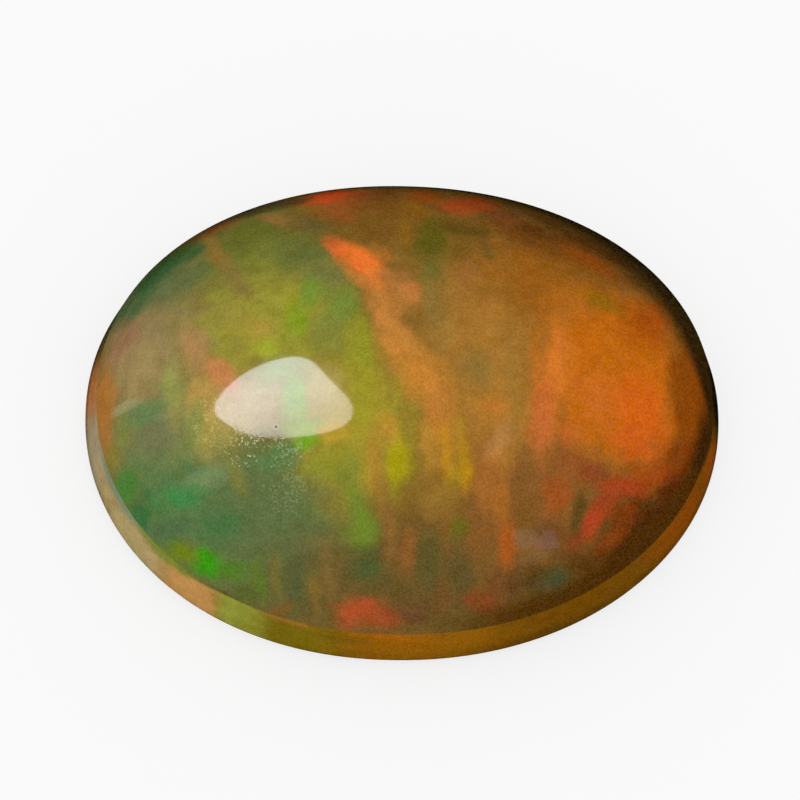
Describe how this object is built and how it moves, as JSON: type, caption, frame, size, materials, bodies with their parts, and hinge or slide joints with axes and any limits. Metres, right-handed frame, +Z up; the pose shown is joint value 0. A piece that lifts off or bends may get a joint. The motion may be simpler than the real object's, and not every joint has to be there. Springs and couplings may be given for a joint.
{
  "type": "opal cabochon",
  "caption": "Polished oval opal with a high dome, a steep inward-leaning wall and a flat base, to be set in a bezel or glued.",
  "frame": {"origin": "centre of the flat base", "axes": "+X along the oval's length, +Y across its width, +Z up from the flat base through the top of the dome"},
  "size_m": [0.014, 0.011, 0.0043],
  "materials": {
    "opal": "polished"
  },
  "bodies": {
    "root": {"opal_cabochon": "opal"}
  },
  "joints": []
}
